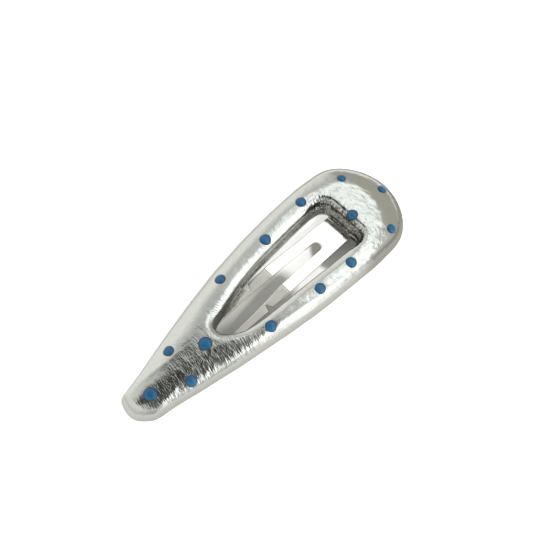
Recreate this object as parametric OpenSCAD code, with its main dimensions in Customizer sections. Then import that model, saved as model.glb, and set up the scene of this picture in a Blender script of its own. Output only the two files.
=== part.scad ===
// Padded snap hair clip: a sprung metal frame in a soft sleeve, with a bare tongue in its window.
// The tip points along -X, the wide end along +X, and the clip lies on its back on z = 0.

/* [Cover] */
// Length from tip to wide end
length = 60; // [54:1:66]
// Greatest width
width = 19.5; // [18:0.5:21]
// Height of the padding over its own back, along the legs
pad_height = 5; // [4.6:0.1:5.6]
// Height of the padding at the tip
tip_height = 4.4; // [4.2:0.1:5]
// How far the middle of the clip stands off the surface
arch_rise = 1.3; // [1:0.1:1.6]
// Height of the widest line of the outer side
side_height = 2.4; // [2:0.1:2.8]
// Height of the seam on the window's wall
seam_height = 1.8; // [1.6:0.1:2]
// Distance from the window over which the padding slumps toward it
slump_reach = 1.8; // [1.4:0.1:2.2]

/* [Spring sheet] */
// Thickness of the sheet
sheet_t = 0.5; // [0.4:0.05:0.6]
// Room between the sheet and its pocket
pocket_gap = 0.12; // [0.1:0.01:0.15]
// Distance from the cover's outline to the frame's edge
frame_inset = 1.3; // [1.2:0.1:1.6]
// Distance from the window's edge to the frame's edge
frame_outset = 1.1; // [1:0.1:1.3]
// Where the tongue bends at its root, from the tip
root_x = 48.6; // [48:0.1:49]
// Height of the middle of the sheet at the root bend
root_z = 1.7; // [1.6:0.05:1.8]
// Half width of the sheet at the root bend
root_half = 2.7; // [2.5:0.1:2.9]
// Gap that stands for the bend line
bend_gap = 0.08; // [0.06:0.01:0.12]
// Where the notches of the tongue lie, from the tip
notch_x = 29.4; // [29:0.1:30]
// Width of a notch at the tongue's edge
notch_w = 1.2; // [0.8:0.1:1.4]
// Depth of a notch
notch_deep = 1.2; // [1:0.1:1.4]
// Room between the tongue and the hollow under the narrow end
tip_room = 0.2; // [0.15:0.05:0.3]

/* [Dots] */
// How far a dot's middle stands off the cover
dot_rise = 0.32; // [0.25:0.01:0.4]
// How deep a dot is seated
dot_seat = 0.3; // [0.25:0.01:0.35]
// Ring of air round a seated dot
dot_gap = 0.05; // [0.04:0.01:0.06]

/* [Hidden] */
// Every table below is drawn for a clip of this length and width, and scales with the real one
drawn_length = 60;
drawn_width = 19.5;
kx = length / drawn_length;
ky = width / drawn_width;

// Half of the cover's plan, from the tip's middle to the wide end's middle
// Columns: outline x, outline half width, window x, window half width
PLAN = [
    [0, 0, 20, 0],
    [0.2, 1.7, 20.03, 0.35],
    [1.5, 3.2, 20.15, 0.75],
    [6, 4.2, 20.55, 1.2],
    [12, 5.5, 21.5, 1.8],
    [20, 7.1, 23.6, 2.6],
    [28, 8.4, 28.6, 3.45],
    [36, 9.3, 35.6, 4],
    [44, 9.7, 42.4, 4.4],
    [50, 9.7, 47.3, 4.5],
    [55.1, 8.7, 48.9, 3.7],
    [58.6, 5.2, 49.05, 2.1],
    [60, 0, 49.1, 0],
];
// How far in from the outline the padding reaches its full height
// Columns: x, distance
DOME = [[0, 2.1], [5, 3.2], [9, 4.1], [16, 4.6], [22, 3.6], [28, 3.1], [47, 3.1], [54, 4.4], [60, 5]];
// How the padding comes down to the window
// Columns: x, distance over which it rounds down
WINDOW_ROUND = [[20, 0.45], [28, 0.35], [45, 0.35], [49, 1.7]];
// Columns: x, how much lower it is at the edge than on the leg's crest
SLUMP = [[20, 0.7], [28, 0.8], [45, 0.8], [49, 0]];
// Middle of the frame's sheet inside the cover
// Columns: x, height
FRAME_LINE = [
    [1, 2], [10, 2.8], [20, 3.25], [30, 3.2], [40, 2.55], [root_x, root_z], [54, 1.45], [59, 1.1],
];
// Middle of the tongue's sheet, bent at each row
// Columns: x, height
TONGUE_LINE = [[6, 0.36], [20, 2.05], [33.8, 3.05], [root_x, root_z]];
// Plan of the tongue, with a round end at the first row
// Columns: x, half width
TONGUE_EDGE = [[11.2, 2.15], [16, 2.35], [22, 2.7], [28, 3], [34, 3.1], [root_x, root_half]];
// Plan of the long slot in the tongue, with a round end at the first and last rows
// Columns: x, half width
SLOT_EDGE = [[15, 0.9], [22, 1.55], [27, 1.5], [34, 1.1], [43.2, 0.88]];
// Columns: x, distance off the middle line, diameter
DOTS = [
    [54.7, 5.2, 1.7],
    [58.4, -0.9, 1.8],
    [53.8, -7.4, 1.8],
    [50.7, -1.1, 2.1],
    [46.2, 6.6, 2],
    [36.8, 5.7, 2.1],
    [26.3, 5.8, 2],
    [44.1, -7.3, 2],
    [36.9, -7.1, 2],
    [26.3, -6.2, 2.1],
    [16.5, -0.8, 2.5],
    [11.5, 2.7, 2],
    [10.6, -3.6, 2.1],
    [4.3, -0.5, 2.5],
];

span_steps = 4;
top_steps = 12;
base_steps = 4;
tall = 20;
seat_above = 2;
root_run = 5;
normal_step = 0.2;
round_sides = 48;

// Smooth curve through the points, at share t of the way from b to c
function between(a, b, c, d, t) =
    0.5 * (2 * b + (c - a) * t + (2 * a - 5 * b + 4 * c - d) * t * t + (3 * b - a - 3 * c + d) * t * t * t);
// Closed smooth loop through the points
function smooth_loop(p) = [
    for (i = [0 : len(p) - 1], j = [0 : span_steps - 1])
        between(p[(i + len(p) - 1) % len(p)], p[i], p[(i + 1) % len(p)], p[(i + 2) % len(p)], j / span_steps)
];
// A half plan, from two columns of the table, with its mirror image
function both_halves(cx, cy) = concat(
    [for (r = PLAN) [r[cx] * kx, r[cy] * ky]],
    [for (i = [len(PLAN) - 2 : -1 : 1]) [PLAN[i][cx] * kx, -PLAN[i][cy] * ky]]
);
OUTLINE = smooth_loop(both_halves(0, 1));
WINDOW = smooth_loop(both_halves(2, 3));
LAST = len(OUTLINE) - 1;

// Unit normal of a loop at a point, to its inside
function loop_normal(p, i) =
    let (d = p[(i + 1) % len(p)] - p[(i + len(p) - 1) % len(p)])
    [d[1], -d[0]] / norm(d);
// The loop drawn in by d, or spread out where d is negative
function moved_loop(p, d) = [for (i = [0 : len(p) - 1]) p[i] + loop_normal(p, i) * d];

function segment_distance(q, a, b) =
    let (d = b - a, t = max(0, min(1, ((q - a) * d) / (d * d))))
    norm(q - a - d * t);
function loop_distance(q, p) =
    min([for (i = [0 : len(p) - 1]) segment_distance(q, p[i], p[(i + 1) % len(p)])]);

// Height of the cover's back over the surface, which it meets a little in from both ends
rest_inset = 1.5;
function arch(x) = arch_rise * (1 - pow((x - length / 2) / (length / 2 - rest_inset), 2));
function crown(x) = tip_height + (pad_height - tip_height) * min(1, x / (length / 4));
// Quarter round, from 0 at the edge to 1 when it is full
function puff(share) = let (s = max(0, min(1, share))) sqrt(1 - (1 - s) * (1 - s));
seam_back = 0.16;
// Height of the padded face over a point of the plan
function face_z(q) =
    let (
        h = crown(q[0]),
        back = loop_distance(q, WINDOW) - seam_back,
        outer = puff(loop_distance(q, OUTLINE) / (lookup(q[0] / kx, DOME) * ky)),
        inner = puff(back / lookup(q[0] / kx, WINDOW_ROUND)),
        slump = lookup(q[0] / kx, SLUMP) * pow(1 - max(0, min(1, back / slump_reach)), 2)
    )
    arch(q[0]) + h - slump - (h - side_height) * (1 - outer) - (h - slump - seam_height) * (1 - inner);

// Lower part of the outer side
// Columns: distance in from the outline, height over the back
OUTER_ROLL = [[0.08, 1.4], [0.42, 0.55], [0.95, 0.14], [rest_inset, 0]];
// Lower part of the window's wall, up to the groove of the seam
// Columns: distance back from the window's edge, height over the back
WINDOW_ROLL = [[0.6, 0], [0.15, 0.22], [0, 0.75], [0.06, 1.15], [0.34, 1.5]];

// One section of the cover, from the seam over the padding, round the side and back under it
function cover_section(i) =
    let (a = WINDOW[i], b = OUTLINE[i], w = norm(b - a), d = (b - a) / w)
    let (
        inner_base = WINDOW_ROLL[0][0],
        outer_base = w - OUTER_ROLL[len(OUTER_ROLL) - 1][0]
    )
    concat(
        [for (k = [0 : top_steps])
            let (
                s = seam_back + (w - seam_back) * (1 - cos(180 * k / top_steps)) / 2,
                q = a + d * s
            )
            [q[0], q[1], face_z(q)]],
        [for (r = OUTER_ROLL) let (q = b - d * r[0]) [q[0], q[1], arch(q[0]) + r[1]]],
        [for (k = [1 : base_steps - 1])
            let (q = a + d * (outer_base + (inner_base - outer_base) * k / base_steps))
            [q[0], q[1], arch(q[0])]],
        [for (r = WINDOW_ROLL) let (q = a + d * r[0]) [q[0], q[1], arch(q[0]) + r[1]]]
    );

module cover_body() {
    sections = [for (i = [0 : LAST]) cover_section(i)];
    m = len(sections[0]);
    n = len(sections);
    polyhedron(
        points = [for (s = sections) each s],
        faces = [
            for (i = [0 : n - 1], j = [0 : m - 1])
                let (
                    a = i * m + j,
                    b = ((i + 1) % n) * m + j,
                    c = ((i + 1) % n) * m + (j + 1) % m,
                    d = i * m + (j + 1) % m
                )
                each [[a, b, c], [a, c, d]]
        ],
        convexity = 8
    );
}

// A sheet of thickness t along a line of x and height, as wide as 2 * half
module bent_sheet(line, t, half) {
    n = len(line);
    translate([0, half, 0])
        rotate([90, 0, 0])
            linear_extrude(2 * half)
                polygon(concat(
                    [for (r = line) [r[0] * kx, r[1] - t / 2]],
                    [for (i = [n - 1 : -1 : 0]) [line[i][0] * kx, line[i][1] + t / 2]]
                ));
}

module upright(points) {
    translate([0, 0, -tall / 2])
        linear_extrude(tall)
            polygon(points);
}

// The frame's sheet, larger by grow on every side
module frame_sheet(grow) {
    difference() {
        intersection() {
            bent_sheet(FRAME_LINE, sheet_t + 2 * grow, width / 2);
            upright(moved_loop(OUTLINE, frame_inset - grow));
        }
        difference() {
            upright(moved_loop(WINDOW, grow - frame_outset));
            // the stub that carries the tongue stays
            translate([root_x * kx + bend_gap + sheet_t / 2 - grow, -root_half * ky - grow, -tall])
                cube([root_run, 2 * (root_half * ky + grow), 2 * tall]);
        }
    }
}

// Upright prism whose half widths are the rows of a table
module plan_strip(edge, grow) {
    n = len(edge);
    upright(concat(
        [for (r = edge) [r[0] * kx, r[1] * ky + grow]],
        [for (i = [n - 1 : -1 : 0]) [edge[i][0] * kx, -edge[i][1] * ky - grow]]
    ));
}

// Upright round end of a strip, at one row of its table
module round_end(row, grow) {
    translate([row[0] * kx, 0, -tall / 2])
        cylinder(r = row[1] * ky + grow, h = tall, $fn = round_sides);
}

// Hollow in the cover's back under the narrow end, where the tongue's end lies
module tip_hollow() {
    n = len(TONGUE_LINE);
    roof = sheet_t / 2 + tip_room;
    intersection() {
        translate([0, width / 2, 0])
            rotate([90, 0, 0])
                linear_extrude(width)
                    polygon(concat(
                        [for (r = TONGUE_LINE) [r[0] * kx, r[1] + roof]],
                        [[TONGUE_LINE[n - 1][0] * kx, -1], [TONGUE_LINE[0][0] * kx, -1]]
                    ));
        union() {
            plan_strip(TONGUE_EDGE, tip_room);
            round_end(TONGUE_EDGE[0], tip_room);
        }
    }
}

// V notch in the tongue's edge, on one side of the middle line
module notch(side) {
    edge = lookup(notch_x, TONGUE_EDGE) * ky;
    past = 0.2;
    slope = notch_w / 2 / notch_deep;
    upright([
        [notch_x * kx - slope * (notch_deep + past), side * (edge + past)],
        [notch_x * kx + slope * (notch_deep + past), side * (edge + past)],
        [notch_x * kx, side * (edge - notch_deep)],
    ]);
}

module dot_place(d) {
    q = [d[0] * kx, d[1] * ky];
    z = face_z(q);
    sx = (face_z(q + [normal_step, 0]) - face_z(q - [normal_step, 0])) / (2 * normal_step);
    sy = (face_z(q + [0, normal_step]) - face_z(q - [0, normal_step])) / (2 * normal_step);
    translate([q[0], q[1], z])
        rotate([0, acos(1 / norm([sx, sy, 1])), atan2(-sy, -sx)])
            children();
}

module padded_cover() {
    color("silver")
    translate([-length / 2, 0, 0])
    difference() {
        cover_body();
        frame_sheet(pocket_gap);
        tip_hollow();
        for (d = DOTS)
            dot_place(d)
                translate([0, 0, -dot_seat])
                    cylinder(d = d[2] + 2 * dot_gap, h = dot_seat + seat_above, $fn = round_sides);
    }
}

module frame_spring() {
    color("gainsboro")
    translate([-length / 2, 0, 0])
    frame_sheet(0);
}

module tongue() {
    color("whitesmoke")
    translate([-length / 2, 0, 0])
    difference() {
        union() {
            intersection() {
                bent_sheet(TONGUE_LINE, sheet_t, width / 2);
                union() {
                    plan_strip(TONGUE_EDGE, 0);
                    round_end(TONGUE_EDGE[0], 0);
                }
            }
            // rolled end that turns in the bend line
            translate([root_x * kx, root_half * ky, root_z])
                rotate([90, 0, 0])
                    cylinder(d = sheet_t, h = 2 * root_half * ky, $fn = round_sides);
        }
        plan_strip(SLOT_EDGE, 0);
        round_end(SLOT_EDGE[0], 0);
        round_end(SLOT_EDGE[len(SLOT_EDGE) - 1], 0);
        notch(1);
        notch(-1);
    }
}

module dot(d) {
    r = d[2] / 2;
    color("steelblue")
    translate([-length / 2, 0, 0])
    dot_place(d)
        rotate_extrude($fn = round_sides)
            polygon([[0, -dot_seat], [r, -dot_seat], [r, -0.05], [r * 0.9, 0.08], [r * 0.6, 0.24], [0, dot_rise]]);
}

padded_cover();
frame_spring();
tongue();
for (i = [0 : len(DOTS) - 1])
    dot(DOTS[i]);
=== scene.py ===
import math

import bmesh
import bpy
import numpy as np
from mathutils import Matrix, Vector, noise
from mathutils.bvhtree import BVHTree


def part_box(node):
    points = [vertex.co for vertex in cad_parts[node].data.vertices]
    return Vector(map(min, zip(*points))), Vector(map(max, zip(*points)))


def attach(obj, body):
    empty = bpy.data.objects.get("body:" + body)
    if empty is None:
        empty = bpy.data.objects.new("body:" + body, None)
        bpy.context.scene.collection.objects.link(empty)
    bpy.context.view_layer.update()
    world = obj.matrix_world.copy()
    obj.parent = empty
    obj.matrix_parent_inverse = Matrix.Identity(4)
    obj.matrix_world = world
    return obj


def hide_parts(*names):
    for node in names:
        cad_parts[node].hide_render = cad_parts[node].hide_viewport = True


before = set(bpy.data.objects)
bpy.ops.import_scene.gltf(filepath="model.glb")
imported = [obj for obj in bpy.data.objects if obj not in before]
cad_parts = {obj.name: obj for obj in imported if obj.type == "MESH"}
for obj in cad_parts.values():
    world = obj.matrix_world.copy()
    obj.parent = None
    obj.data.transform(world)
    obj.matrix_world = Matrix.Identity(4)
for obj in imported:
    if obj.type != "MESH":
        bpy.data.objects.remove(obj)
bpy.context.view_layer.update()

# Spring frame
# A loop of 0.5 mm spring steel, stamped from sheet and nickel plated. It lies inside the cover, and only
# the stub that carries the tongue comes out of the window's wall at the wide end.
MM = 0.001


def linear(code):
    """An sRGB hex colour as linear red, green, blue and alpha."""
    channels = [int(code[i:i + 2], 16) / 255 for i in (1, 3, 5)]
    return [c / 12.92 if c <= 0.04045 else ((c + 0.055) / 1.055) ** 2.4 for c in channels] + [1.0]


def add(tree, kind, inputs=None, **settings):
    """Adds a node: settings are its own options, inputs are values or the sockets that feed it."""
    made = tree.nodes.new(kind)
    for name, value in settings.items():
        setattr(made, name, value)
    for name, value in (inputs or {}).items():
        if isinstance(value, bpy.types.NodeSocket):
            tree.links.new(value, made.inputs[name])
        else:
            made.inputs[name].default_value = value
    return made


def new_material(name):
    """An empty node material and its tree."""
    material = bpy.data.materials.new(name)
    material.use_nodes = True
    material.node_tree.nodes.clear()
    return material, material.node_tree


def wear(piece, material):
    """Gives every face of a piece one material."""
    piece.data.materials.clear()
    piece.data.materials.append(material)


# Bright nickel over cold-rolled steel: almost a mirror, a little cloudy, with the faint lines of the rolls
# along the strip that draw each highlight out. The lines are too close to be seen one by one.
ROLL_LINE, ROLL_LENGTH, ROLL_DEEP = 0.05, 6, 0.002
CLOUD = 3.5
nickel_plated_steel, tree = new_material("nickel_plated_spring_steel")
place = add(tree, "ShaderNodeTexCoord")
strip = add(tree, "ShaderNodeMapping", {
    "Vector": place.outputs["Object"],
    "Scale": (1 / (ROLL_LENGTH * MM), 1 / (ROLL_LINE * MM), 1 / (ROLL_LENGTH * MM)),
})
roll_lines = add(tree, "ShaderNodeTexNoise", {"Vector": strip.outputs[0], "Scale": 1.0, "Detail": 2.0})
clouds = add(tree, "ShaderNodeTexNoise", {
    "Vector": place.outputs["Object"], "Scale": 1 / (CLOUD * MM), "Detail": 3.0,
})
haze = add(tree, "ShaderNodeMath", {
    0: roll_lines.outputs["Fac"], 1: clouds.outputs["Fac"],
}, operation="MULTIPLY")
sheen = add(tree, "ShaderNodeMapRange", {
    "Value": haze.outputs[0], "From Min": 0.15, "From Max": 0.4, "To Min": 0.12, "To Max": 0.24,
})
tone = add(tree, "ShaderNodeMix", {
    "Factor": clouds.outputs["Fac"], "A": linear("#e0ddd7"), "B": linear("#d4d1ca"),
}, data_type="RGBA")
roll_relief = add(tree, "ShaderNodeBump", {
    "Height": roll_lines.outputs["Fac"], "Strength": 0.35, "Distance": ROLL_DEEP * MM,
})
steel = add(tree, "ShaderNodeBsdfPrincipled", {
    "Base Color": tone.outputs["Result"], "Roughness": sheen.outputs[0], "Normal": roll_relief.outputs[0],
    "Metallic": 1.0,
})
add(tree, "ShaderNodeOutputMaterial", {"Surface": steel.outputs[0]})

wear(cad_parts["frame_spring"], nickel_plated_steel)

# Tongue
# The middle of the same stamping: a tapering strip with a long slot, a V notch in each edge and a pressed
# bend line, tucked under the narrow end. It snaps over to hold the hair.
SHEET = 0.5
STAMPED_EDGE = 0.09
HALF_LENGTH = (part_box("padded_cover")[1][0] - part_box("padded_cover")[0][0]) / 2 / MM
ROOT_X, ROOT_Z, ROOT_HALF = 48.6, 1.7, 2.7
# Share of its thickness that the sheet has left at the end of the rounded root
ROOT_THIN = 0.12
BEND_X, BEND_ROUND = 33.8, 0.12
SCORE_WIDE, SCORE_DEEP = 0.16, 0.03
NOTCH_X, NOTCH_WIDE, NOTCH_DEEP, NOTCH_BLUNT = 29.4, 1.2, 1.2, 0.09
# Columns: x from the tip, height of the middle of the sheet
TONGUE_LINE = np.array([[6, 0.36], [20, 2.05], [BEND_X, 3.05], [ROOT_X, ROOT_Z]])
# Columns: x from the tip, half width; the first row is the middle of a round end
TONGUE_EDGE = np.array([[11.2, 2.15], [16, 2.35], [22, 2.7], [28, 3], [34, 3.1], [ROOT_X, ROOT_HALF]])
# The slot, with a round end at its first and last rows
SLOT_EDGE = np.array([[15, 0.9], [22, 1.55], [27, 1.5], [34, 1.1], [43.2, 0.88]])
# Points nearer to each other than WELD are joined, and edges that turn more than CREASE stay crisp
WELD = 0.0005
CREASE = math.radians(28)


def round_end(x, half, start, end, steps=14):
    """Points on an arc about a point of the middle line, between two angles in degrees."""
    turn = np.radians(np.linspace(start, end, steps))
    return [(x + half * math.cos(a), half * math.sin(a)) for a in turn]


def tongue_outline():
    """The tongue's edge, from the root along one side, round the free end and back."""
    half_at_notch = np.interp(NOTCH_X, TONGUE_EDGE[:, 0], TONGUE_EDGE[:, 1])
    side = [(x, half) for x, half in TONGUE_EDGE[1:]]
    vee = [
        (NOTCH_X - NOTCH_WIDE / 2, half_at_notch),
        (NOTCH_X - NOTCH_BLUNT, half_at_notch - NOTCH_DEEP),
        (NOTCH_X + NOTCH_BLUNT, half_at_notch - NOTCH_DEEP),
        (NOTCH_X + NOTCH_WIDE / 2, half_at_notch),
    ]
    side = sorted(side + vee)
    tip = round_end(*TONGUE_EDGE[0], 90, 270)
    root_run = ROOT_X + SHEET / 2
    far = [(root_run, ROOT_HALF)] + side[::-1]
    near = [(x, -y) for x, y in side] + [(root_run, -ROOT_HALF)]
    return far + tip + near


def slot_outline():
    """The slot's edge, both sides and both round ends."""
    far = [(x, half) for x, half in SLOT_EDGE[1:-1]]
    near = [(x, -half) for x, half in SLOT_EDGE[-2:0:-1]]
    return round_end(*SLOT_EDGE[0], 270, 90) + far + round_end(*SLOT_EDGE[-1], 90, -90) + near


def sheet_height(x):
    """Height of the middle of the sheet, with the bend rounded over a short run."""
    reach = np.array([-1.0, -0.5, 0.0, 0.5, 1.0]) * BEND_ROUND
    return float(np.mean([np.interp(x + step, TONGUE_LINE[:, 0], TONGUE_LINE[:, 1]) for step in reach]))


def flat_sheet(name, loops):
    """A flat sheet with stamped, rounded edges, filled between closed loops of points in mm."""
    curve = bpy.data.curves.new(name, "CURVE")
    curve.dimensions = "2D"
    curve.fill_mode = "BOTH"
    curve.bevel_depth = STAMPED_EDGE
    curve.bevel_resolution = 3
    curve.extrude = SHEET / 2 - STAMPED_EDGE
    curve.offset = -STAMPED_EDGE
    for loop in loops:
        spline = curve.splines.new("POLY")
        spline.points.add(len(loop) - 1)
        for point, (x, y) in zip(spline.points, loop):
            point.co = (x, y, 0, 1)
        spline.use_cyclic_u = True
    holder = bpy.data.objects.new(name + "_plan", curve)
    bpy.context.scene.collection.objects.link(holder)
    bpy.context.view_layer.update()
    mesh = bpy.data.meshes.new_from_object(holder.evaluated_get(bpy.context.evaluated_depsgraph_get()))
    bpy.data.objects.remove(holder)
    return mesh


def link_piece(name, mesh):
    """Makes a scene object of a mesh."""
    mesh.name = name
    piece = bpy.data.objects.new(name, mesh)
    bpy.context.scene.collection.objects.link(piece)
    return piece


mesh = flat_sheet("tongue_plate", [tongue_outline(), slot_outline()])
shape = bmesh.new()
shape.from_mesh(mesh)
bmesh.ops.remove_doubles(shape, verts=shape.verts, dist=WELD)
# Cuts across the blank, close together where the sheet turns: at both bends and round the root.
cuts = list(np.arange(10, ROOT_X, 1.5))
cuts += [BEND_X + step for step in np.linspace(-0.48, 0.48, 25)]
cuts += [TONGUE_LINE[1, 0] + step for step in np.linspace(-0.8, 0.8, 9)]
cuts += [ROOT_X + SHEET / 2 * math.sin(a) for a in np.radians([-20, 0, 15, 30, 45, 60, 72, 82])]
for x in cuts:
    everything = shape.verts[:] + shape.edges[:] + shape.faces[:]
    bmesh.ops.bisect_plane(shape, geom=everything, plane_co=(x, 0, 0), plane_no=(1, 0, 0), dist=WELD)
# The blank is raised to its line, with its root rounded off and the bend line scored in its top.
for vertex in shape.verts:
    x, y, z = vertex.co
    past = min(1.0, max(0.0, (x - ROOT_X) / (SHEET / 2)))
    z *= max(ROOT_THIN, math.sqrt(1 - past * past))
    if z > 0:
        z -= SCORE_DEEP * math.exp(-((x - BEND_X) / (SCORE_WIDE / 2)) ** 2)
    vertex.co = Vector((x - HALF_LENGTH, y, z + sheet_height(min(x, ROOT_X)))) * MM
shape.to_mesh(mesh)
shape.free()
mesh.shade_smooth()
mesh.set_sharp_from_angle(angle=CREASE)
tongue_plate = link_piece("tongue_plate", mesh)
even_light = tongue_plate.modifiers.new("even_light", "WEIGHTED_NORMAL")
even_light.keep_sharp = True
even_light.weight = 100
wear(tongue_plate, nickel_plated_steel)
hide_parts("tongue")
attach(tongue_plate, "tongue")

# Padded cover
# A sleeve of silver foil leatherette over a layer of foam, sewn and pressed round the frame. A front piece
# and a back piece meet in a seam on the window's wall; pulled tight over the foam, the foil wrinkles.
# Height of the padding over the back, in the wide half and at the tip
PAD_HEIGHT, TIP_HEIGHT = 5.0, 4.4
# How high the back arches off the table, and how far in from the outline it starts
ARCH_RISE, REST_INSET = 1.3, 1.5
# Height over the back at which the face begins, on the outer side and at the seam in the window
SIDE_HEIGHT, SEAM_HEIGHT = 2.4, 1.8
# How far from the seam the foam slumps toward the window, and how far the seam stands back
SLUMP_REACH, SEAM_BACK = 1.8, 0.16
# Room between the tongue's end and the padding over it
TONGUE_ROOM = 0.25
# Columns: outline x, outline half width, window x, window half width. The soft sleeve is drawn up to 0.3 mm
# narrower on each side than the solid that stands for it.
PLAN = np.array([
    [0, 0, 20, 0],
    [0.35, 1.6, 20.03, 0.35],
    [1.7, 3, 20.15, 0.75],
    [6, 3.9, 20.55, 1.2],
    [12, 5.25, 21.5, 1.8],
    [20, 6.95, 23.6, 2.6],
    [28, 8.3, 28.6, 3.45],
    [36, 9.2, 35.6, 4],
    [44, 9.6, 42.4, 4.4],
    [50, 9.65, 47.3, 4.5],
    [55.1, 8.7, 48.9, 3.7],
    [58.6, 5.2, 49.05, 2.1],
    [60, 0, 49.1, 0],
])
# Columns: x, distance in from the outline at which the foam has its full height
DOME = np.array([
    [0, 2.1], [5, 3.2], [9, 4.1], [16, 4.6], [22, 3.6], [28, 3.1], [47, 3.1], [54, 4.4], [60, 5],
])
# Columns: x, how far from the window's edge the foam rounds down to it, how much it slumps toward it
WINDOW_EDGE = np.array([[20, 0.45, 0.7], [28, 0.35, 0.8], [45, 0.35, 0.8], [49, 1.7, 0]])
# Columns: distance in from the outline, height over the back
OUTER_ROLL = np.array([[0, SIDE_HEIGHT], [0.08, 1.4], [0.42, 0.55], [0.95, 0.14], [REST_INSET, 0]])
# Columns: distance back from the window's edge, height over the back
WINDOW_ROLL = np.array([
    [0.6, 0], [0.15, 0.22], [0, 0.75], [0.05, 1.2], [0.26, 1.48], [0.5, 1.6], [0.32, 1.7],
    [SEAM_BACK, SEAM_HEIGHT],
])
# Height over the back of the lip under the seam, which is left out of the painted wall shade and stays
# bright between the folds
LIP_HEIGHT = 1.35
# The narrow end's corners: how far from the tip and the middle line, and how far each is moved in x and y
CORNER_X, CORNER_Y = 0.9, 2.4
NEAR_CORNER_MOVE, FAR_CORNER_MOVE = (0.4, 0.2), (-0.25, 0.2)
# How far the window's edge lies toward the near leg, how much more beside the narrow end, and how much more
# again on its far side there; the foot of the far wall stays back by FOOT_BACK times as much
EDGE_LEAN, NARROW_LEAN, FAR_BULGE = 0.3, 0.45, 0.3
FOOT_BACK = 1.2
# Sections round the cover, steps of the plan's curve between two rows, and points along parts of a section
STATIONS, PLAN_STEPS = 720, 30
FACE_POINTS, TOP_POINTS, BACK_POINTS, WALL_POINTS = 121, 84, 30, 14
# How many stations the foam's rounding at the tip spreads over
ROUNDING = 9


def smooth_through(points, steps, closed):
    """A smooth curve through points, with a number of steps to each span."""
    before = np.roll(points, 1, 0)
    after = np.roll(points, -1, 0)
    beyond = np.roll(points, -2, 0)
    if not closed:
        before[0] = points[0]
        after[-1] = points[-1]
        beyond[-2:] = points[-1]
    run = []
    for step in range(steps):
        t = step / steps
        run.append(0.5 * (
            2 * points + (after - before) * t
            + (2 * before - 5 * points + 4 * after - beyond) * t ** 2
            + (3 * points - before - 3 * after + beyond) * t ** 3
        ))
    run = np.stack(run, 1)
    if closed:
        return run.reshape(-1, points.shape[1])
    return np.vstack([run[:-1].reshape(-1, points.shape[1]), points[-1:]])


def spread_evenly(points, count):
    """The same polyline with a number of points at even distances."""
    run = np.concatenate([[0], np.cumsum(np.linalg.norm(np.diff(points, axis=0), axis=1))])
    at = np.linspace(0, run[-1], count)
    return np.stack([np.interp(at, run, column) for column in points.T], 1)


def ease(value, low, high):
    """Smooth step from 0 at low to 1 at high."""
    share = np.clip((value - low) / (high - low), 0, 1)
    return share * share * (3 - 2 * share)


def bell(value, middle, reach):
    """1 at a middle value, falling off to 0 on both sides of it."""
    return np.exp(-((value - middle) / reach) ** 2)


def distance_to(points, loop):
    """Distance in plan from each point to a closed loop."""
    nearest = np.full(len(points), 1e9)
    for start, end in zip(loop, np.roll(loop, -1, 0)):
        run = end - start
        share = np.clip(((points - start) @ run) / (run @ run), 0, 1)
        nearest = np.minimum(nearest, np.linalg.norm(points - start - share[:, None] * run, axis=1))
    return nearest


def puff(share):
    """Quarter round, from 0 at an edge to 1 at full height."""
    return np.sqrt(1 - (1 - np.clip(share, 0, 1)) ** 2)


def arch(x):
    """Height of the cover's back over the surface."""
    return ARCH_RISE * (1 - ((x - HALF_LENGTH) / (HALF_LENGTH - REST_INSET)) ** 2)


def face_height(points):
    """Height of the padded face over points of the plan."""
    x = points[:, 0]
    full = TIP_HEIGHT + (PAD_HEIGHT - TIP_HEIGHT) * np.minimum(1, x / (HALF_LENGTH / 2))
    outer = puff(distance_to(points, OUTLINE) / np.interp(x, DOME[:, 0], DOME[:, 1]))
    back = distance_to(points, WINDOW) - SEAM_BACK
    inner = puff(back / np.interp(x, WINDOW_EDGE[:, 0], WINDOW_EDGE[:, 1]))
    slump = np.interp(x, WINDOW_EDGE[:, 0], WINDOW_EDGE[:, 2]) * (1 - np.clip(back / SLUMP_REACH, 0, 1)) ** 2
    low = full - SIDE_HEIGHT
    return arch(x) + full - low * (1 - outer) - slump - (full - slump - SEAM_HEIGHT) * (1 - inner)


# The window's edge lies toward the near leg, most of all beside the narrow end. On the far side the foot of
# the wall stays back, so the padding bulges over it; plan_loop's last column says how far.
both_halves = np.vstack([PLAN, PLAN[-2:0:-1] * [1, -1, 1, -1]])
plan_loop = smooth_through(both_halves, PLAN_STEPS, closed=True)
window_x, window_far = plan_loop[:, 2], ease(plan_loop[:, 3], -1, 1)
narrow_part = ease(window_x, 19.5, 23.5) * (1 - ease(window_x, 22, 36))
edge_lean = EDGE_LEAN + narrow_part * (NARROW_LEAN + FAR_BULGE * window_far)
plan_loop = np.column_stack([plan_loop, edge_lean * window_far])
plan_loop[:, 3] -= edge_lean

# The narrow end isn't quite even: its near corner is drawn in and its far corner stands out.
near_corner = bell(plan_loop[:, 0], CORNER_X, 1.3) * np.clip(-plan_loop[:, 1] / CORNER_Y, 0, 1)
far_corner = bell(plan_loop[:, 0], CORNER_X, 0.9) * np.clip(plan_loop[:, 1] / CORNER_Y, 0, 1)
for axis in (0, 1):
    plan_loop[:, axis] += NEAR_CORNER_MOVE[axis] * near_corner + FAR_CORNER_MOVE[axis] * far_corner
OUTLINE, WINDOW = plan_loop[:, :2], plan_loop[:, 2:4]

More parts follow.
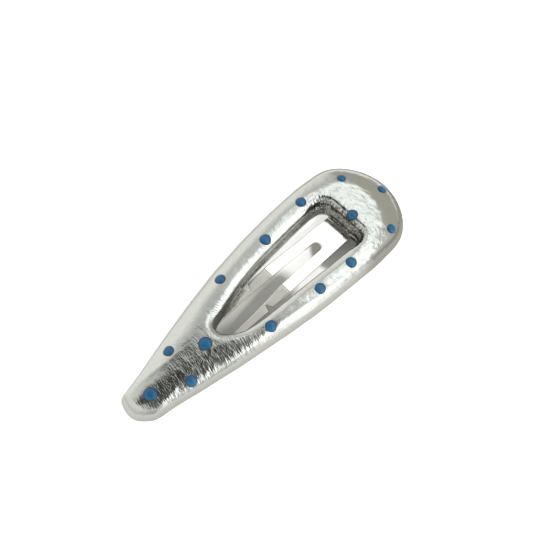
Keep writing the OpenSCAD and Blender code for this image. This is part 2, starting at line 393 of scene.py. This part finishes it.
# The face, along straight lines from the window's edge out to the outline. The foam rounds off the creases
# that the corners of the tip would draw on it.
stations = spread_evenly(np.vstack([plan_loop, plan_loop[:1]]), STATIONS + 1)[:-1]
outline_at, window_at, foot_back = stations[:, :2], stations[:, 2:4], FOOT_BACK * stations[:, 4]
width = np.linalg.norm(outline_at - window_at, axis=1)
ray = (outline_at - window_at) / width[:, None]
spread = (1 - np.cos(np.pi * np.arange(FACE_POINTS) / (FACE_POINTS - 1))) / 2
along = SEAM_BACK + (width[:, None] - SEAM_BACK) * spread
face_plan = window_at[:, None] + ray[:, None] * along[..., None]
face_z = face_height(face_plan.reshape(-1, 2)).reshape(along.shape)
offsets = np.arange(-2 * ROUNDING, 2 * ROUNDING + 1)
weights = bell(offsets, 0, ROUNDING) / bell(offsets, 0, ROUNDING).sum()
rounded = sum(weight * np.roll(face_z, int(offset), 0) for offset, weight in zip(offsets, weights))
at_tip = ease(-outline_at[:, :1], -9, -5)
face_z = face_z * (1 - at_tip) + rounded * at_tip
side_run = smooth_through(OUTER_ROLL, 8, closed=False)[1:]
wall_run = smooth_through(WINDOW_ROLL, 6, closed=False)


def section_at(i):
    """A section through the padding: over the face, down the side, in along the back and up the wall.

    Its columns are plan x, plan y, height and distance from the window's edge.
    """

    def back_height(out):
        """Height of the back at distances from the window's edge."""
        return arch(window_at[i, 0] + ray[i, 0] * out)

    side_out = width[i] - side_run[:, 0]
    side = np.stack([side_out, side_run[:, 1] + back_height(side_out)], 1)
    top = spread_evenly(np.vstack([np.stack([along[i], face_z[i]], 1), side]), TOP_POINTS)
    back_out = np.linspace(width[i] - REST_INSET, WINDOW_ROLL[0, 0], BACK_POINTS + 2)[1:-1]
    back = np.stack([back_out, back_height(back_out)], 1)
    lean = foot_back[i] * (1 - (wall_run[:, 1] / SEAM_HEIGHT) ** 3)
    wall = np.stack([wall_run[:, 0] + lean, wall_run[:, 1] + back_height(wall_run[:, 0])], 1)
    wall = spread_evenly(wall, WALL_POINTS + 1)[:-1]
    section = np.vstack([top, back, wall])
    return np.column_stack([window_at[i] + ray[i] * section[:, :1], section[:, 1], section[:, 0]])


def facing(grid):
    """Outward unit normals of a grid that closes on itself both ways."""
    along = np.roll(grid, -1, 0) - np.roll(grid, 1, 0)
    across = np.roll(grid, -1, 1) - np.roll(grid, 1, 1)
    turned = np.cross(across, along)
    return turned / (np.linalg.norm(turned, axis=2)[..., None] + 1e-12)


def roughness_at(coordinates, size, seed):
    """Smooth noise from -1 to 1, with features of the given size, or of one size along each coordinate."""
    scaled = coordinates.reshape(-1, 3) / np.array(size) + seed * 17.3
    return np.array([noise.noise(row) for row in scaled.tolist()]).reshape(coordinates.shape[:2])


rings = np.array([section_at(i) for i in range(STATIONS)])
skin = rings[..., :3]
from_window = rings[..., 3]
from_edge = width[:, None] - from_window
normals = facing(skin)
if normals[..., 2][:, TOP_POINTS // 3].mean() < 0:
    normals = -normals
x, y = skin[..., 0], skin[..., 1]
is_face = ease(normals[..., 2], -0.2, 0.25)

# On the narrow end the wrinkles run out from the window in a chevron, and at the wide end they lie along
# the edge. Two coordinates follow them: across the wrinkles and along them.
CHEVRON = math.radians(78)
CHEVRON_MIDDLE, CHEVRON_BLUNT = 1.2, 0.8
WIDE_MIDDLE, WIDE_RADIUS = 46, 8
bend_off = np.sqrt((y - CHEVRON_MIDDLE) ** 2 + CHEVRON_BLUNT)
narrow_across = math.sin(CHEVRON) * x + math.cos(CHEVRON) * bend_off
narrow_along = math.cos(CHEVRON) * x - math.sin(CHEVRON) * bend_off
wide_along = np.arctan2(y, x - WIDE_MIDDLE) * WIDE_RADIUS
lay_across = np.where(x < 40, narrow_across, from_window)
lay_along = np.where(x < 40, narrow_along, wide_along)

# How much the foil is creased, by place. The narrow end is creased most on its near side, and the foil is
# stretched smooth at the window's edge. Numbers given to ease for x and y are places in mm from the tip and
# the middle line.
to_wide = ease(x, 44, 48)
calm = 0.15 + 0.22 * ease(x, 9, 15)
creased = (1 - ease(x, 20, 28)) * (calm + (1 - calm) * (1 - ease(y, 0.3, 1.7))) * ease(x, 0.5, 2.5)
beside_window = ease(from_window, 0.9, 2.0)
before_window = 1 - (1 - ease(from_window, 0.4, 1.4)) * ease(x, 17, 20)
creased *= np.where(x > 20, beside_window, before_window)
near_edge = bell(from_window, 0.9, 0.9) * is_face
wide_corners = np.exp(-((x - 49) ** 2 + (np.abs(y) - 4.2) ** 2) / 3)
narrow_corner = np.exp(-((x - 21) ** 2 + y ** 2) / 9)
corner = np.maximum(wide_corners, narrow_corner)
on_wall = (1 - ease(from_window, 0.35, 0.7)) * (1 - ease(x, 46, 48)) * ease(x, 20, 23)

# The kinds of relief, each with the size of its features. Streaks and ripples have one size across the
# wrinkles and a longer one along them; wander keeps them from running straight.
STREAK_SIZE, RIPPLE_SIZE = [0.36, 1.1, 1], [0.5, 0.9, 1]
WANDER_SIZE, CRUMPLE_SIZE, SWELL_SIZE, PUCKER_PHASE_SIZE, PINCH_SIZE = 2.5, 1.0, 5.0, 2.0, 0.5
PUCKER_COUNT = 150
LOW_FOLD, HIGH_FOLD = 2.5, 3.4
zero = np.zeros_like(x)
wander = roughness_at(skin, WANDER_SIZE, 1)
streaks = roughness_at(np.stack([narrow_across + 0.35 * wander, narrow_along, zero], 2), STREAK_SIZE, 2)
streaks = np.sign(streaks) * np.abs(streaks) ** 0.8
ripples = roughness_at(np.stack([from_window + 0.5 * wander, wide_along, zero], 2), RIPPLE_SIZE, 3)
crumple = roughness_at(skin, CRUMPLE_SIZE, 4)
swell = roughness_at(skin, SWELL_SIZE, 5)
pinches = roughness_at(skin, PINCH_SIZE, 7)
pucker_phase = roughness_at(skin, PUCKER_PHASE_SIZE, 6)
station_run = np.repeat(np.arange(STATIONS)[:, None], skin.shape[1], 1) / STATIONS
puckers = np.sin(station_run * 2 * math.pi * PUCKER_COUNT + 2.5 * pucker_phase)
height = skin[..., 2] - arch(x)
folds = bell(height - LOW_FOLD, 0.35 * wander, 0.16) + bell(height - HIGH_FOLD, -0.3 * swell, 0.14)

# How far each kind moves the foil out or in, in mm
STREAK_LIFT, RIPPLE_LIFT, CRUMPLE_LIFT, SWELL_LIFT = 0.027, 0.02, 0.014, 0.07
PUCKER_LIFT, PINCH_LIFT, TIP_PINCH_LIFT, FOLD_DEEP = 0.03, 0.04, 0.03, 0.09
lift = STREAK_LIFT * streaks * creased * (1 - 0.4 * ease(x, 14, 20)) * is_face
lift += RIPPLE_LIFT * ripples * to_wide * is_face
lift += CRUMPLE_LIFT * crumple
lift += SWELL_LIFT * swell
lift += PUCKER_LIFT * puckers * near_edge * (0.03 + corner)
wide_band = 0.4 * to_wide * bell(from_window, 2.2, 0.8)
lift += PINCH_LIFT * pinches * (near_edge + wide_band) * (0.3 + 0.7 * to_wide)
lift -= FOLD_DEEP * folds * on_wall
lift += TIP_PINCH_LIFT * pinches * (1 - ease(x, 1.5, 4)) * is_face
skin = skin + normals * lift[..., None]

# The back is pressed in where the tongue's end lies under it.
HOLLOW_END = 26
tongue_half = np.interp(x, TONGUE_EDGE[:, 0], TONGUE_EDGE[:, 1])
ahead = np.maximum(0, TONGUE_EDGE[0, 0] - x)
aside = np.abs(y) - tongue_half * np.sqrt(np.clip(1 - (ahead / TONGUE_EDGE[0, 1]) ** 2, 0, 1))
roof = np.interp(x, TONGUE_LINE[:, 0], TONGUE_LINE[:, 1]) + SHEET / 2 + TONGUE_ROOM
hollow = (1 - ease(aside, 0.35, 1.0)) * (x < HOLLOW_END) * (ahead < TONGUE_EDGE[0, 1] + 0.3)
skin_z = skin[..., 2]
past_face = np.arange(skin.shape[1])[None] > TOP_POINTS * 0.6
pressed_z = np.where((skin_z < roof) & past_face, skin_z + (roof - skin_z) * hollow, skin_z)
skin[..., 2] = np.maximum(pressed_z, 0.0)

count = skin.shape[1]
index = np.arange(STATIONS * count).reshape(STATIONS, count)
faces = np.stack([
    index, np.roll(index, -1, 1), np.roll(np.roll(index, -1, 0), -1, 1), np.roll(index, -1, 0),
], 2).reshape(-1, 4)
mesh = bpy.data.meshes.new("cover_skin")
mesh.from_pydata(((skin.reshape(-1, 3) - [HALF_LENGTH, 0, 0]) * MM).tolist(), [], faces.tolist())
shape = bmesh.new()
shape.from_mesh(mesh)
bmesh.ops.recalc_face_normals(shape, faces=shape.faces)
shape.to_mesh(mesh)
shape.free()
mesh.shade_smooth()


def mark_points(mesh, name, values):
    """Keeps one value for each point of a mesh, for its material to read."""
    marks = mesh.attributes.new(name, "FLOAT", "POINT")
    marks.data.foreach_set("value", values.astype(np.float32).ravel())


# What the foil's material reads at each point: the lay of the wrinkles and how many there are, how much
# painted shade darkens the window's wall and the wide end's rim, and how much painted shade darkens the rim
# round the outline, which is also made less glossy there.
lay = mesh.attributes.new("wrinkle_lay", "FLOAT_VECTOR", "POINT")
lay_and_amount = np.stack([lay_across, lay_along, np.maximum(creased, 0.2 * to_wide) * is_face], 2)
lay.data.foreach_set("vector", lay_and_amount.astype(np.float32).ravel())
# Painted shade on the window's wall, laid on in patches by the foil's material, leaving out the lip under
# the seam; the wide end's rim gets painted shade too.
lip = bell(rings[..., 2] - arch(x), LIP_HEIGHT, 0.16)
wall_shade_reach = 0.65 + 1.0 * ease(x, 46.5, 49)
wall_shade_amount = (1 - ease(from_window, wall_shade_reach - 0.6, wall_shade_reach)) * (1 - lip * (x < 46))
wall_shade_amount += 0.45 * ease(x, 55, 58) * (1 - ease(from_edge, 0.6, 0.9))
mark_points(mesh, "painted_wall_shade", wall_shade_amount)
# Painted shade on the rim round the outline, strongest on the near side and toward the wide end; the same
# mask makes the rim less glossy.
near_side = ease(-y, 0, 2)
near_weight = 0.15 + 0.45 * ease(x, 42, 50)
at_outline = 1 - ease(from_edge, 0.85, 1.05)
rim_shade_and_dulling_amount = at_outline * (0.35 + near_weight * near_side + 0.5 * ease(x, 44, 54))
mark_points(mesh, "rim_shade_and_dulling", np.clip(rim_shade_and_dulling_amount, 0, 1))
cover_skin = link_piece("cover_skin", mesh)

# Aluminium foil bonded to soft polyurethane leatherette: a broken mirror, bright where a wrinkle faces the
# light and dark beside it. The streaks go on from the wrinkles of the mesh, with shallow dents 0.9 mm wide
# between them. The real grain is finer than the picture can show and is drawn as coarse as it needs to be.
STREAK_WIDE, STREAK_LONG, STREAK_DEEP = 0.22, 0.9, 0.035
CELL, CELL_DEEP = 0.9, 0.015
GRAIN, GRAIN_DEEP = 0.3, 0.017
foil_leatherette, tree = new_material("silver_foil_leatherette")
place = add(tree, "ShaderNodeTexCoord")
laid = add(tree, "ShaderNodeAttribute", attribute_name="wrinkle_lay")
parts = add(tree, "ShaderNodeSeparateXYZ", {0: laid.outputs["Vector"]})
streak_at = add(tree, "ShaderNodeMapping", {
    "Vector": laid.outputs["Vector"], "Scale": (1 / STREAK_WIDE, 1 / STREAK_LONG, 0.0),
})
streak_noise = add(tree, "ShaderNodeTexNoise", {
    "Vector": streak_at.outputs[0], "Scale": 1.0, "Detail": 1.0, "Roughness": 0.4, "Distortion": 0.4,
})
grain_noise = add(tree, "ShaderNodeTexNoise", {
    "Vector": place.outputs["Object"], "Scale": 1 / (GRAIN * MM), "Detail": 2.0, "Roughness": 0.6,
})
cells = add(tree, "ShaderNodeTexVoronoi", {
    "Vector": place.outputs["Object"], "Scale": 1 / (CELL * MM), "Randomness": 1.0,
}, feature="SMOOTH_F1")
streak_amount = add(tree, "ShaderNodeMapRange", {"Value": parts.outputs["Z"], "To Min": 0.0, "To Max": 1.0})
streak_relief = add(tree, "ShaderNodeMath", {
    0: streak_noise.outputs["Fac"], 1: streak_amount.outputs[0],
}, operation="MULTIPLY")
streak_bump = add(tree, "ShaderNodeBump", {
    "Height": streak_relief.outputs[0], "Strength": 1.0, "Distance": STREAK_DEEP * MM,
})
cell_bump = add(tree, "ShaderNodeBump", {
    "Height": cells.outputs["Distance"], "Strength": 0.7, "Distance": CELL_DEEP * MM,
    "Normal": streak_bump.outputs[0],
})
grain_bump = add(tree, "ShaderNodeBump", {
    "Height": grain_noise.outputs["Fac"], "Strength": 1.0, "Distance": GRAIN_DEEP * MM,
    "Normal": cell_bump.outputs[0],
})
foil_tone = add(tree, "ShaderNodeMix", {
    "Factor": grain_noise.outputs["Fac"], "A": linear("#c4c6c2"), "B": linear("#b3b5b0"),
}, data_type="RGBA")
# Painted shade: the rim round the outline is darkened toward a dull grey.
rim_shade_and_dulling = add(tree, "ShaderNodeAttribute", attribute_name="rim_shade_and_dulling")
rim_shaded_colour = add(tree, "ShaderNodeMix", {
    "Factor": rim_shade_and_dulling.outputs["Fac"], "A": foil_tone.outputs["Result"], "B": linear("#8b8a84"),
}, data_type="RGBA")
# Painted shade: the window's wall and the wide end's rim are darkened in patches toward near black.
wall_shade = add(tree, "ShaderNodeAttribute", attribute_name="painted_wall_shade")
patchy = add(tree, "ShaderNodeMapRange", {
    "Value": grain_noise.outputs["Fac"], "From Min": 0.27, "From Max": 0.68,
})
patchy_wall_shade = add(tree, "ShaderNodeMath", {0: wall_shade.outputs["Fac"], 1: patchy.outputs[0]}, operation="MULTIPLY")
shaded_foil_colour = add(tree, "ShaderNodeMix", {
    "Factor": patchy_wall_shade.outputs[0], "A": rim_shaded_colour.outputs["Result"], "B": linear("#302d26"),
}, data_type="RGBA")
satin = add(tree, "ShaderNodeMapRange", {"Value": rim_shade_and_dulling.outputs["Fac"], "To Min": 0.16, "To Max": 0.3})
foil = add(tree, "ShaderNodeBsdfPrincipled", {
    "Base Color": shaded_foil_colour.outputs["Result"], "Roughness": satin.outputs[0], "Metallic": 1.0,
    "Specular Tint": (0.65, 0.65, 0.64, 1.0), "Normal": grain_bump.outputs[0],
})
add(tree, "ShaderNodeOutputMaterial", {"Surface": foil.outputs[0]})
wear(cover_skin, foil_leatherette)
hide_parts("padded_cover")
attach(cover_skin, "clip")

# Dots
# Drops of thick blue enamel set by hand on the finished cover. Each runs out a little unevenly and dries
# to a low dome that sits on the wrinkles.
# How high a drop stands, how deep its rim sits in the foil, how unevenly it runs out as a share of its
# radius, and how much of the wrinkles under it its middle still shows
DOT_RISE, RIM_TUCK, RUN_OUT, SHOW_THROUGH = 0.34, 0.06, 0.07, 0.4
# Columns: x from the tip, distance off the middle line, diameter
DOTS = [
    (54.7, 5.2, 1.7),
    (58.4, -0.9, 1.8),
    (53.8, -7.4, 1.8),
    (50.7, -1.1, 2.1),
    (46.2, 6.6, 2),
    (36.8, 5.7, 2.1),
    (26.3, 5.8, 2),
    (44.1, -7.3, 2),
    (36.9, -7.1, 2),
    (26.3, -6.2, 2.1),
    (16.5, -0.8, 2.5),
    (11.5, 2.7, 2),
    (10.6, -3.6, 2.1),
    (4.3, -0.5, 2.5),
]
DOT_SIDES, DOT_RINGS = 40, 12
# How far off a dot's middle the face's slope is taken, and how far over the face its rays to the foil start
SLOPE_STEP, RAY_START = 0.2, 1.5

# Gloss enamel thick enough to hide the foil: a deep flat blue, darkened round the rim by painted shade where
# the drop turns down to the foil, and a skin that isn't quite level. The pigment's mottle is drawn as coarse
# as it shows.
MOTTLE, SKIN_RIPPLE, SKIN_DEEP = 0.8, 0.35, 0.02
blue_enamel, tree = new_material("blue_gloss_enamel")
place = add(tree, "ShaderNodeTexCoord")
mottle = add(tree, "ShaderNodeTexNoise", {
    "Vector": place.outputs["Object"], "Scale": 1 / (MOTTLE * MM), "Detail": 2.0,
})
blue = add(tree, "ShaderNodeMix", {
    "Factor": mottle.outputs["Fac"], "A": linear("#124f78"), "B": linear("#1c6592"),
}, data_type="RGBA")
# Painted shade: each drop's rim is darkened toward a deep blue-black.
rim = add(tree, "ShaderNodeAttribute", attribute_name="near_rim")
rim_shaded_blue = add(tree, "ShaderNodeMix", {
    "Factor": rim.outputs["Fac"], "A": blue.outputs["Result"], "B": linear("#0a2e45"),
}, data_type="RGBA")
skin_noise = add(tree, "ShaderNodeTexNoise", {
    "Vector": place.outputs["Object"], "Scale": 1 / (SKIN_RIPPLE * MM),
})
skin_bump = add(tree, "ShaderNodeBump", {
    "Height": skin_noise.outputs["Fac"], "Strength": 0.4, "Distance": SKIN_DEEP * MM,
})
enamel = add(tree, "ShaderNodeBsdfPrincipled", {
    "Base Color": rim_shaded_blue.outputs["Result"], "Roughness": 0.3, "Normal": skin_bump.outputs[0], "IOR": 1.5,
})
add(tree, "ShaderNodeOutputMaterial", {"Surface": enamel.outputs[0]})

cover_tree = BVHTree.FromPolygons(
    [tuple(p) for p in (skin.reshape(-1, 3)).tolist()], [tuple(f) for f in faces.tolist()]
)
for number, (dot_x, dot_y, across) in enumerate(DOTS, start=1):
    middle = np.array([[dot_x, dot_y]])
    rise_x = face_height(middle + [SLOPE_STEP, 0]) - face_height(middle - [SLOPE_STEP, 0])
    rise_y = face_height(middle + [0, SLOPE_STEP]) - face_height(middle - [0, SLOPE_STEP])
    out = Vector((-rise_x[0] / (2 * SLOPE_STEP), -rise_y[0] / (2 * SLOPE_STEP), 1)).normalized()
    side_a = out.cross(Vector((0, 1, 0))).normalized()
    side_b = out.cross(side_a)
    centre = Vector((dot_x, dot_y, face_height(middle)[0]))
    points = []
    for ring in range(DOT_RINGS + 1):
        share = ring / DOT_RINGS
        for k in range(DOT_SIDES):
            turn = 2 * math.pi * k / DOT_SIDES
            uneven = 1 + RUN_OUT * noise.noise(Vector((math.cos(turn), math.sin(turn), number * 3.1)))
            flat = centre + (side_a * math.cos(turn) + side_b * math.sin(turn)) * across / 2 * share * uneven
            hit = cover_tree.ray_cast(flat + out * RAY_START, -out)[0] or flat
            settled = (hit - flat).dot(out) * (SHOW_THROUGH + (1 - SHOW_THROUGH) * share)
            rise = DOT_RISE * (1 - share ** 2.6) ** 0.7 - RIM_TUCK * share ** 6
            points.append(flat + out * (settled + rise))
    quads = []
    for ring in range(DOT_RINGS):
        for k in range(DOT_SIDES):
            a, b = ring * DOT_SIDES + k, ring * DOT_SIDES + (k + 1) % DOT_SIDES
            quads.append((a, b, b + DOT_SIDES, a + DOT_SIDES))
    mesh = bpy.data.meshes.new("paint_dot")
    mesh.from_pydata([(p - Vector((HALF_LENGTH, 0, 0))) * MM for p in points], [], quads)
    shape = bmesh.new()
    shape.from_mesh(mesh)
    bmesh.ops.remove_doubles(shape, verts=shape.verts, dist=1e-7)
    bmesh.ops.holes_fill(shape, edges=shape.edges, sides=0)
    bmesh.ops.recalc_face_normals(shape, faces=shape.faces)
    shape.to_mesh(mesh)
    shape.free()
    mesh.shade_smooth()
    places = np.array([tuple(vertex.co) for vertex in mesh.vertices]) / MM + [HALF_LENGTH, 0, 0]
    # How far each point lies out toward the rim, for the painted rim shade.
    off_middle = np.linalg.norm(places - np.array(centre), axis=1) / (across / 2)
    mark_points(mesh, "near_rim", ease(off_middle, 0.62, 1.0))
    dot = link_piece(f"paint_dot_{number:02d}", mesh)
    wear(dot, blue_enamel)
    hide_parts(f"dot_{number:02d}")
    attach(dot, "clip")

# Table
# A sheet of matt white board, larger than the view, that the clip lies on. It glows from below, because the
# photograph's floor is bright to the point of white, but for two soft shaded ovals under the window.
FLOOR_HALF = 1.6
BACK_LIGHT = 0.6
# Middle and reach of the two ovals, in mm from the clip's middle
SHADES = (((-6.5, 0), (13.5, 6)), ((16.5, -1.5), (4.5, 4)))

# Matt coated board: plain white with the faintest cloudiness. Single fibres don't show, so the clouds are
# drawn 4 mm wide.
FIBRE_CLOUD = 4
white_board, tree = new_material("matt_white_board")
place = add(tree, "ShaderNodeTexCoord")
fibres = add(tree, "ShaderNodeTexNoise", {
    "Vector": place.outputs["Object"], "Scale": 1 / (FIBRE_CLOUD * MM), "Detail": 4.0,
})
board_tone = add(tree, "ShaderNodeMix", {
    "Factor": fibres.outputs["Fac"], "A": linear("#f4f4f2"), "B": linear("#f0f0ee"),
}, data_type="RGBA")
far_off = []
for middle, reach in SHADES:
    off_middle = add(tree, "ShaderNodeVectorMath", {
        0: place.outputs["Object"], 1: (middle[0] * MM, middle[1] * MM, 0.0),
    }, operation="SUBTRACT")
    in_reach = add(tree, "ShaderNodeVectorMath", {
        0: off_middle.outputs[0], 1: (reach[0] * MM, reach[1] * MM, 1.0),
    }, operation="DIVIDE")
    far_off.append(add(tree, "ShaderNodeVectorMath", {0: in_reach.outputs[0]}, operation="LENGTH"))
nearest_shade = add(tree, "ShaderNodeMath", {
    0: far_off[0].outputs["Value"], 1: far_off[1].outputs["Value"],
}, operation="MINIMUM")
# Painted light: the board's glow washes out the clip's shadow beside it; inside the two ovals it is left
# out, as painted shade under the window.
back_light = add(tree, "ShaderNodeMapRange", {
    "Value": nearest_shade.outputs[0], "From Min": 0.92, "From Max": 1.08, "To Max": BACK_LIGHT,
})
board = add(tree, "ShaderNodeBsdfPrincipled", {
    "Base Color": board_tone.outputs["Result"], "Roughness": 0.8, "Emission Color": linear("#ffffff"),
    "Emission Strength": back_light.outputs[0],
})
add(tree, "ShaderNodeOutputMaterial", {"Surface": board.outputs[0]})
mesh = bpy.data.meshes.new("table_top")
corners = [(a * FLOOR_HALF, b * FLOOR_HALF, 0) for a, b in ((-1, -1), (1, -1), (1, 1), (-1, 1))]
mesh.from_pydata(corners, [], [(0, 1, 2, 3)])
table_top = link_piece("table_top", mesh)
wear(table_top, white_board)

# Light
# A small soft lamp stands on the picture's right. It lights the clip but isn't mirrored in it: foil and
# steel mirror only the room.
LAMP_WAY = (0.28, -0.68, 0.68)
LAMP_FAR = 0.6
LAMP_SIZE = 0.12
LAMP_WATTS = 2.0
lamp_light = bpy.data.lights.new("soft_lamp", "AREA")
lamp_light.shape = "SQUARE"
lamp_light.size = LAMP_SIZE
lamp_light.energy = LAMP_WATTS
lamp_light.color = (1.0, 0.97, 0.91)
lamp = bpy.data.objects.new("soft_lamp", lamp_light)
away = Vector(LAMP_WAY).normalized()
across = Vector((0, 1, 0)).cross(away).normalized()
turned = Matrix((across, away.cross(across), away)).transposed().to_4x4()
lamp.matrix_world = Matrix.Translation(away * LAMP_FAR) @ turned
lamp.visible_glossy = False
bpy.context.scene.collection.objects.link(lamp)

# Room
# A pale room with three bright panels on the picture's right and a dark ceiling, which the foil and the
# steel mirror. It fills the shade at FILL of its strength, and the camera sees plain white in its place.
FILL = 0.6
WALLS = (0.85, 0.86, 0.84)
# Each row: linear colour, middle and reach of an oval of directions by their x and y, softness of its rim.
# Later rows lie over earlier ones.
ROOM = [
    # Paler walls beyond the far leg and past the narrow end
    ((1.38, 1.37, 1.31), (0.0, 1.15), (0.9, 0.5), 0.4),
    ((1.2, 1.21, 1.18), (-0.75, 0.2), (0.4, 0.9), 0.2),
    # Greyer walls past the wide end and in its near corner
    ((0.63, 0.61, 0.54), (1.25, 0.2), (0.67, 1.3), 0.1),
    ((0.72, 0.71, 0.66), (0.62, -0.88), (0.28, 0.28), 0.2),
    # The three bright panels
    ((2.4, 2.48, 2.5), (0.45, -0.3), (0.11, 0.42), 0.2),
    ((2.0, 2.07, 2.08), (0.48, 0.15), (0.09, 0.28), 0.2),
    ((2.9, 2.98, 3.0), (0.17, -0.8), (0.19, 0.25), 0.3),
    # The dark ceiling, darkest straight overhead
    ((0.12, 0.115, 0.105), (-0.12, -0.4), (0.25, 0.38), 0.25),
    ((0.05, 0.047, 0.043), (-0.13, 0.1), (0.3, 0.34), 0.18),
]
room = bpy.data.worlds.new("pale_room")
bpy.context.scene.world = room
room.use_nodes = True
tree = room.node_tree
tree.nodes.clear()
way = add(tree, "ShaderNodeTexCoord")
unit = add(tree, "ShaderNodeVectorMath", {0: way.outputs["Generated"]}, operation="NORMALIZE")
room_colour = (*WALLS, 1.0)
for colour, middle, reach, soft in ROOM:
    off = add(tree, "ShaderNodeVectorMath", {0: unit.outputs[0], 1: (*middle, 0.0)}, operation="SUBTRACT")
    scaled = add(tree, "ShaderNodeVectorMath", {0: off.outputs[0], 1: (*reach, 1e6)}, operation="DIVIDE")
    far = add(tree, "ShaderNodeVectorMath", {0: scaled.outputs[0]}, operation="LENGTH")
    inside = add(tree, "ShaderNodeMapRange", {
        "Value": far.outputs["Value"], "From Min": 1 + soft, "From Max": 1 - soft,
    }, interpolation_type="SMOOTHSTEP")
    laid_over = add(tree, "ShaderNodeMix", {
        "Factor": inside.outputs[0], "A": room_colour, "B": (*colour, 1.0),
    }, data_type="RGBA")
    room_colour = laid_over.outputs["Result"]
seen = add(tree, "ShaderNodeLightPath")
strength = add(tree, "ShaderNodeMapRange", {
    "Value": seen.outputs["Is Diffuse Ray"], "To Min": 1.0, "To Max": FILL,
})
glow = add(tree, "ShaderNodeBackground", {"Color": room_colour, "Strength": strength.outputs[0]})
backdrop = add(tree, "ShaderNodeBackground", {"Color": linear("#f6f6f5"), "Strength": 1.0})
shown = add(tree, "ShaderNodeMixShader", {
    0: seen.outputs["Is Camera Ray"], 1: glow.outputs[0], 2: backdrop.outputs[0],
})
add(tree, "ShaderNodeOutputWorld", {"Surface": shown.outputs[0]})
bpy.context.scene.view_settings.view_transform = "Standard"

# Camera
# It looks down on the clip from its narrow end's side, as the photograph does, from a phone's distance. In
# the picture, whose sides are PICTURE pixels long, the clip's middle on the table lies at CLIP_AT.
PICTURE = 540
CLIP_AT = (260.5, 303.1)
DISTANCE = 330 * MM
ELEVATION = math.radians(65)
TURN = math.radians(44.9)
PIXELS_PER_MM = 5.944
SENSOR = 36
focal_pixels = PIXELS_PER_MM * DISTANCE / MM
ahead = Vector((math.sin(TURN), math.cos(TURN), 0))
position = (-ahead * math.cos(ELEVATION) + Vector((0, 0, math.sin(ELEVATION)))) * DISTANCE
view_line = -position.normalized()
right = view_line.cross(Vector((0, 0, 1))).normalized()
up = right.cross(view_line)
off_right = right * (PICTURE / 2 - CLIP_AT[0]) / focal_pixels
off_up = up * (CLIP_AT[1] - PICTURE / 2) / focal_pixels
aim = view_line + off_right + off_up
aim.normalize()
right = aim.cross(up).normalized()
up = right.cross(aim)
camera = bpy.data.objects.new("camera", bpy.data.cameras.new("camera"))
camera.data.sensor_width = SENSOR
camera.data.lens = focal_pixels / PICTURE * SENSOR
camera.data.clip_start, camera.data.clip_end = 0.01, 10
camera.matrix_world = Matrix.Translation(position) @ Matrix((right, up, -aim)).transposed().to_4x4()
bpy.context.scene.collection.objects.link(camera)
bpy.context.scene.camera = camera
